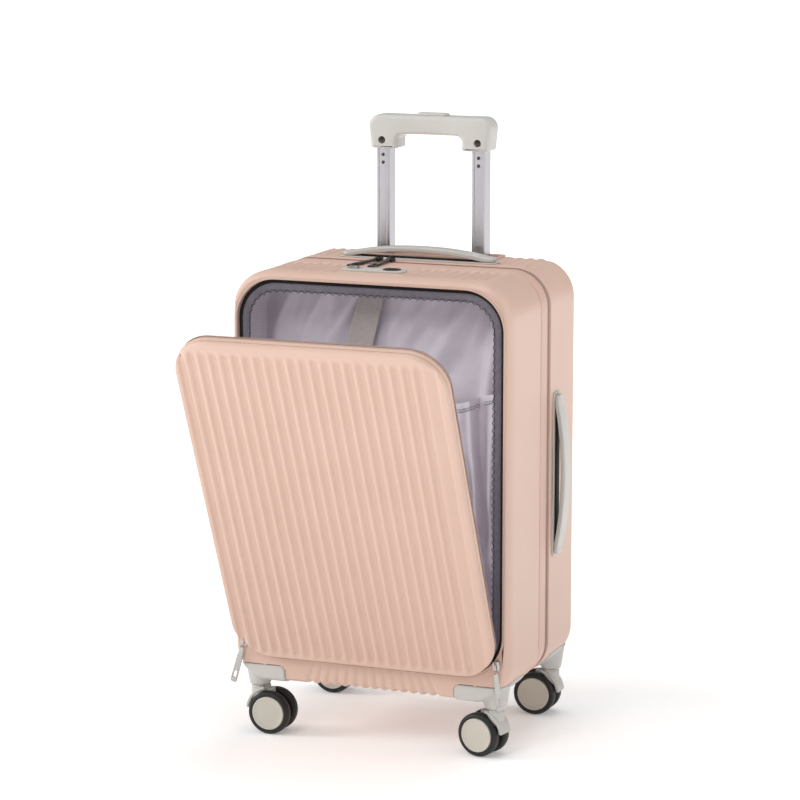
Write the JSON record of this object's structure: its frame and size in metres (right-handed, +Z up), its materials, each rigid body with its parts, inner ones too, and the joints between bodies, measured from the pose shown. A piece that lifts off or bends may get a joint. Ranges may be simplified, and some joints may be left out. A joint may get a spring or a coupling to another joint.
{
  "type": "hard shell suitcase on wheels",
  "caption": "Cabin suitcase with a ribbed hard shell, a front laptop door, a pull-out trolley handle, carry handles and swivelling twin wheels.",
  "frame": {"origin": "on the floor, at the middle of the footprint of the whole object with the laptop door open as stored", "axes": "+Z up, +X to the case's right side seen from its front, +Y to its back; the laptop door opens towards -Y"},
  "size_m": [0.3642, 0.436, 0.729],
  "materials": {
    "shell": "satin moulded polycarbonate, pale pink",
    "band": "satin extruded frame, pale pink",
    "trim": "satin moulded plastic, warm light grey",
    "tube": "satin anodised",
    "tyre": "satin black",
    "cap": "satin moulded plastic, beige grey",
    "steel": "plated",
    "gunmetal": "dark nickel plate",
    "lining": "woven nylon, grey lavender",
    "webbing": "woven webbing, grey"
  },
  "bodies": {
    "rear_half": {"back_shell": "shell", "trolley_housing": "trim", "top_handle_base": "trim", "side_handle_base": "trim", "corner_guard_rear_left": "trim", "corner_guard_rear_right": "trim"},
    "front_half": {"front_shell": "shell", "middle_band": "band", "lock_plate": "trim", "main_zip_slider_left": "gunmetal", "main_zip_slider_right": "gunmetal", "door_zip_slider_left": "steel", "door_zip_slider_right": "steel", "compartment_liner": "lining", "sleeve_pocket": "lining", "retaining_strap": "webbing", "corner_guard_front_left": "trim", "corner_guard_front_right": "trim"},
    "front_door": {"front_door": "shell"},
    "trolley_stage": {"middle_tube_left": "tube", "middle_tube_right": "tube"},
    "trolley_grip": {"inner_tube_left": "tube", "inner_tube_right": "tube", "grip": "trim"},
    "grip_button": {"grip_button": "trim"},
    "top_handle": {"top_handle": "trim"},
    "side_handle": {"side_handle": "trim"},
    "lock_dial_1": {"lock_dial_1": "gunmetal"},
    "lock_dial_2": {"lock_dial_2": "gunmetal"},
    "lock_dial_3": {"lock_dial_3": "gunmetal"},
    "lock_release": {"lock_release": "steel"},
    "main_zip_pull_left": {"main_zip_pull_left": "gunmetal"},
    "main_zip_pull_right": {"main_zip_pull_right": "gunmetal"},
    "door_zip_pull_left": {"door_zip_pull_left": "steel"},
    "door_zip_pull_right": {"door_zip_pull_right": "steel"},
    "caster_front_left": {"caster_fork_front_left": "trim", "caster_axle_front_left": "steel"},
    "caster_front_right": {"caster_fork_front_right": "trim", "caster_axle_front_right": "steel"},
    "caster_rear_left": {"caster_fork_rear_left": "trim", "caster_axle_rear_left": "steel"},
    "caster_rear_right": {"caster_fork_rear_right": "trim", "caster_axle_rear_right": "steel"},
    "wheel_front_left_a": {"wheel_front_left_a": "tyre", "hub_cap_front_left_a": "cap"},
    "wheel_front_left_b": {"wheel_front_left_b": "tyre", "hub_cap_front_left_b": "cap"},
    "wheel_front_right_a": {"wheel_front_right_a": "tyre", "hub_cap_front_right_a": "cap"},
    "wheel_front_right_b": {"wheel_front_right_b": "tyre", "hub_cap_front_right_b": "cap"},
    "wheel_rear_left_a": {"wheel_rear_left_a": "tyre", "hub_cap_rear_left_a": "cap"},
    "wheel_rear_left_b": {"wheel_rear_left_b": "tyre", "hub_cap_rear_left_b": "cap"},
    "wheel_rear_right_a": {"wheel_rear_right_a": "tyre", "hub_cap_rear_right_a": "cap"},
    "wheel_rear_right_b": {"wheel_rear_right_b": "tyre", "hub_cap_rear_right_b": "cap"}
  },
  "joints": [
    {"name": "shell_hinge", "type": "hinge", "parent": "rear_half", "child": "front_half", "pos_m": [-0.18245, 0.10871, 0.3], "axis": [0, 0, -1], "range_deg": [0, 160]},
    {"name": "door_hinge", "type": "hinge", "parent": "front_half", "child": "front_door", "pos_m": [-0.00645, -0.02779, 0.104], "axis": [1, 0, 0], "range_deg": [-24, 0]},
    {"name": "trolley_stage_slide", "type": "slide", "parent": "rear_half", "child": "trolley_stage", "axis": [0, 0, 1], "range_m": [0, 0.18]},
    {"name": "trolley_grip_slide", "type": "slide", "parent": "trolley_stage", "child": "trolley_grip", "axis": [0, 0, 1], "range_m": [-0.151, 0.13]},
    {"name": "grip_button_press", "type": "slide", "parent": "trolley_grip", "child": "grip_button", "axis": [0, 0, 1], "range_m": [-0.003, 0], "stiffness_N_per_m": 500, "springref_m": 0.004},
    {"name": "top_handle_lift", "type": "slide", "parent": "rear_half", "child": "top_handle", "axis": [0, 0, 1], "range_m": [0, 0.008], "stiffness_N_per_m": 400, "springref_m": -0.002},
    {"name": "side_handle_lift", "type": "slide", "parent": "rear_half", "child": "side_handle", "axis": [1, 0, 0], "range_m": [0, 0.008], "stiffness_N_per_m": 400, "springref_m": -0.002},
    {"name": "lock_dial_1_turn", "type": "hinge", "parent": "front_half", "child": "lock_dial_1", "pos_m": [-0.00245, 0.02221, 0.5565], "axis": [1, 0, 0], "continuous": true},
    {"name": "lock_dial_2_turn", "type": "hinge", "parent": "front_half", "child": "lock_dial_2", "pos_m": [0.00295, 0.02221, 0.5565], "axis": [1, 0, 0], "continuous": true},
    {"name": "lock_dial_3_turn", "type": "hinge", "parent": "front_half", "child": "lock_dial_3", "pos_m": [0.00835, 0.02221, 0.5565], "axis": [1, 0, 0], "continuous": true},
    {"name": "lock_release_slide", "type": "slide", "parent": "front_half", "child": "lock_release", "axis": [1, 0, 0], "range_m": [0, 0.004], "stiffness_N_per_m": 200, "springref_m": -0.002},
    {"name": "main_zip_pull_left_swing", "type": "hinge", "parent": "front_half", "child": "main_zip_pull_left", "pos_m": [-0.05045, 0.10171, 0.5602], "axis": [-0.9903, 0.1392, 0], "range_deg": [0, 90]},
    {"name": "main_zip_pull_right_swing", "type": "hinge", "parent": "front_half", "child": "main_zip_pull_right", "pos_m": [-0.03345, 0.10171, 0.5602], "axis": [-0.9998, -0.0175, 0], "range_deg": [0, 90]},
    {"name": "door_zip_pull_left_swing", "type": "hinge", "parent": "front_half", "child": "door_zip_pull_left", "pos_m": [-0.16645, -0.03259, 0.108], "axis": [-0.9613, 0, 0.2756], "range_deg": [0, 100]},
    {"name": "door_zip_pull_right_swing", "type": "hinge", "parent": "front_half", "child": "door_zip_pull_right", "pos_m": [0.15355, -0.03259, 0.108], "axis": [-0.9945, 0, -0.1045], "range_deg": [0, 100]},
    {"name": "caster_front_left_swivel", "type": "hinge", "parent": "front_half", "child": "caster_front_left", "pos_m": [-0.15645, -0.00429, 0.03], "axis": [0, 0, 1], "continuous": true},
    {"name": "caster_front_right_swivel", "type": "hinge", "parent": "front_half", "child": "caster_front_right", "pos_m": [0.14355, -0.00429, 0.03], "axis": [0, 0, 1], "continuous": true},
    {"name": "caster_rear_left_swivel", "type": "hinge", "parent": "rear_half", "child": "caster_rear_left", "pos_m": [-0.15645, 0.19171, 0.03], "axis": [0, 0, 1], "continuous": true},
    {"name": "caster_rear_right_swivel", "type": "hinge", "parent": "rear_half", "child": "caster_rear_right", "pos_m": [0.14355, 0.19171, 0.03], "axis": [0, 0, 1], "continuous": true},
    {"name": "wheel_front_left_a_roll", "type": "hinge", "parent": "caster_front_left", "child": "wheel_front_left_a", "pos_m": [-0.13945, -0.00429, 0.026], "axis": [0, 1, 0], "continuous": true},
    {"name": "wheel_front_left_b_roll", "type": "hinge", "parent": "caster_front_left", "child": "wheel_front_left_b", "pos_m": [-0.13945, -0.00429, 0.026], "axis": [0, 1, 0], "continuous": true},
    {"name": "wheel_front_right_a_roll", "type": "hinge", "parent": "caster_front_right", "child": "wheel_front_right_a", "pos_m": [0.12692, -0.00076, 0.026], "axis": [0.2079, 0.9781, 0], "continuous": true},
    {"name": "wheel_front_right_b_roll", "type": "hinge", "parent": "caster_front_right", "child": "wheel_front_right_b", "pos_m": [0.12692, -0.00076, 0.026], "axis": [0.2079, 0.9781, 0], "continuous": true},
    {"name": "wheel_rear_left_a_roll", "type": "hinge", "parent": "caster_rear_left", "child": "wheel_rear_left_a", "pos_m": [-0.13945, 0.19171, 0.026], "axis": [0, 1, 0], "continuous": true},
    {"name": "wheel_rear_left_b_roll", "type": "hinge", "parent": "caster_rear_left", "child": "wheel_rear_left_b", "pos_m": [-0.13945, 0.19171, 0.026], "axis": [0, 1, 0], "continuous": true},
    {"name": "wheel_rear_right_a_roll", "type": "hinge", "parent": "caster_rear_right", "child": "wheel_rear_right_a", "pos_m": [0.12655, 0.19171, 0.026], "axis": [0, 1, 0], "continuous": true},
    {"name": "wheel_rear_right_b_roll", "type": "hinge", "parent": "caster_rear_right", "child": "wheel_rear_right_b", "pos_m": [0.12655, 0.19171, 0.026], "axis": [0, 1, 0], "continuous": true}
  ]
}
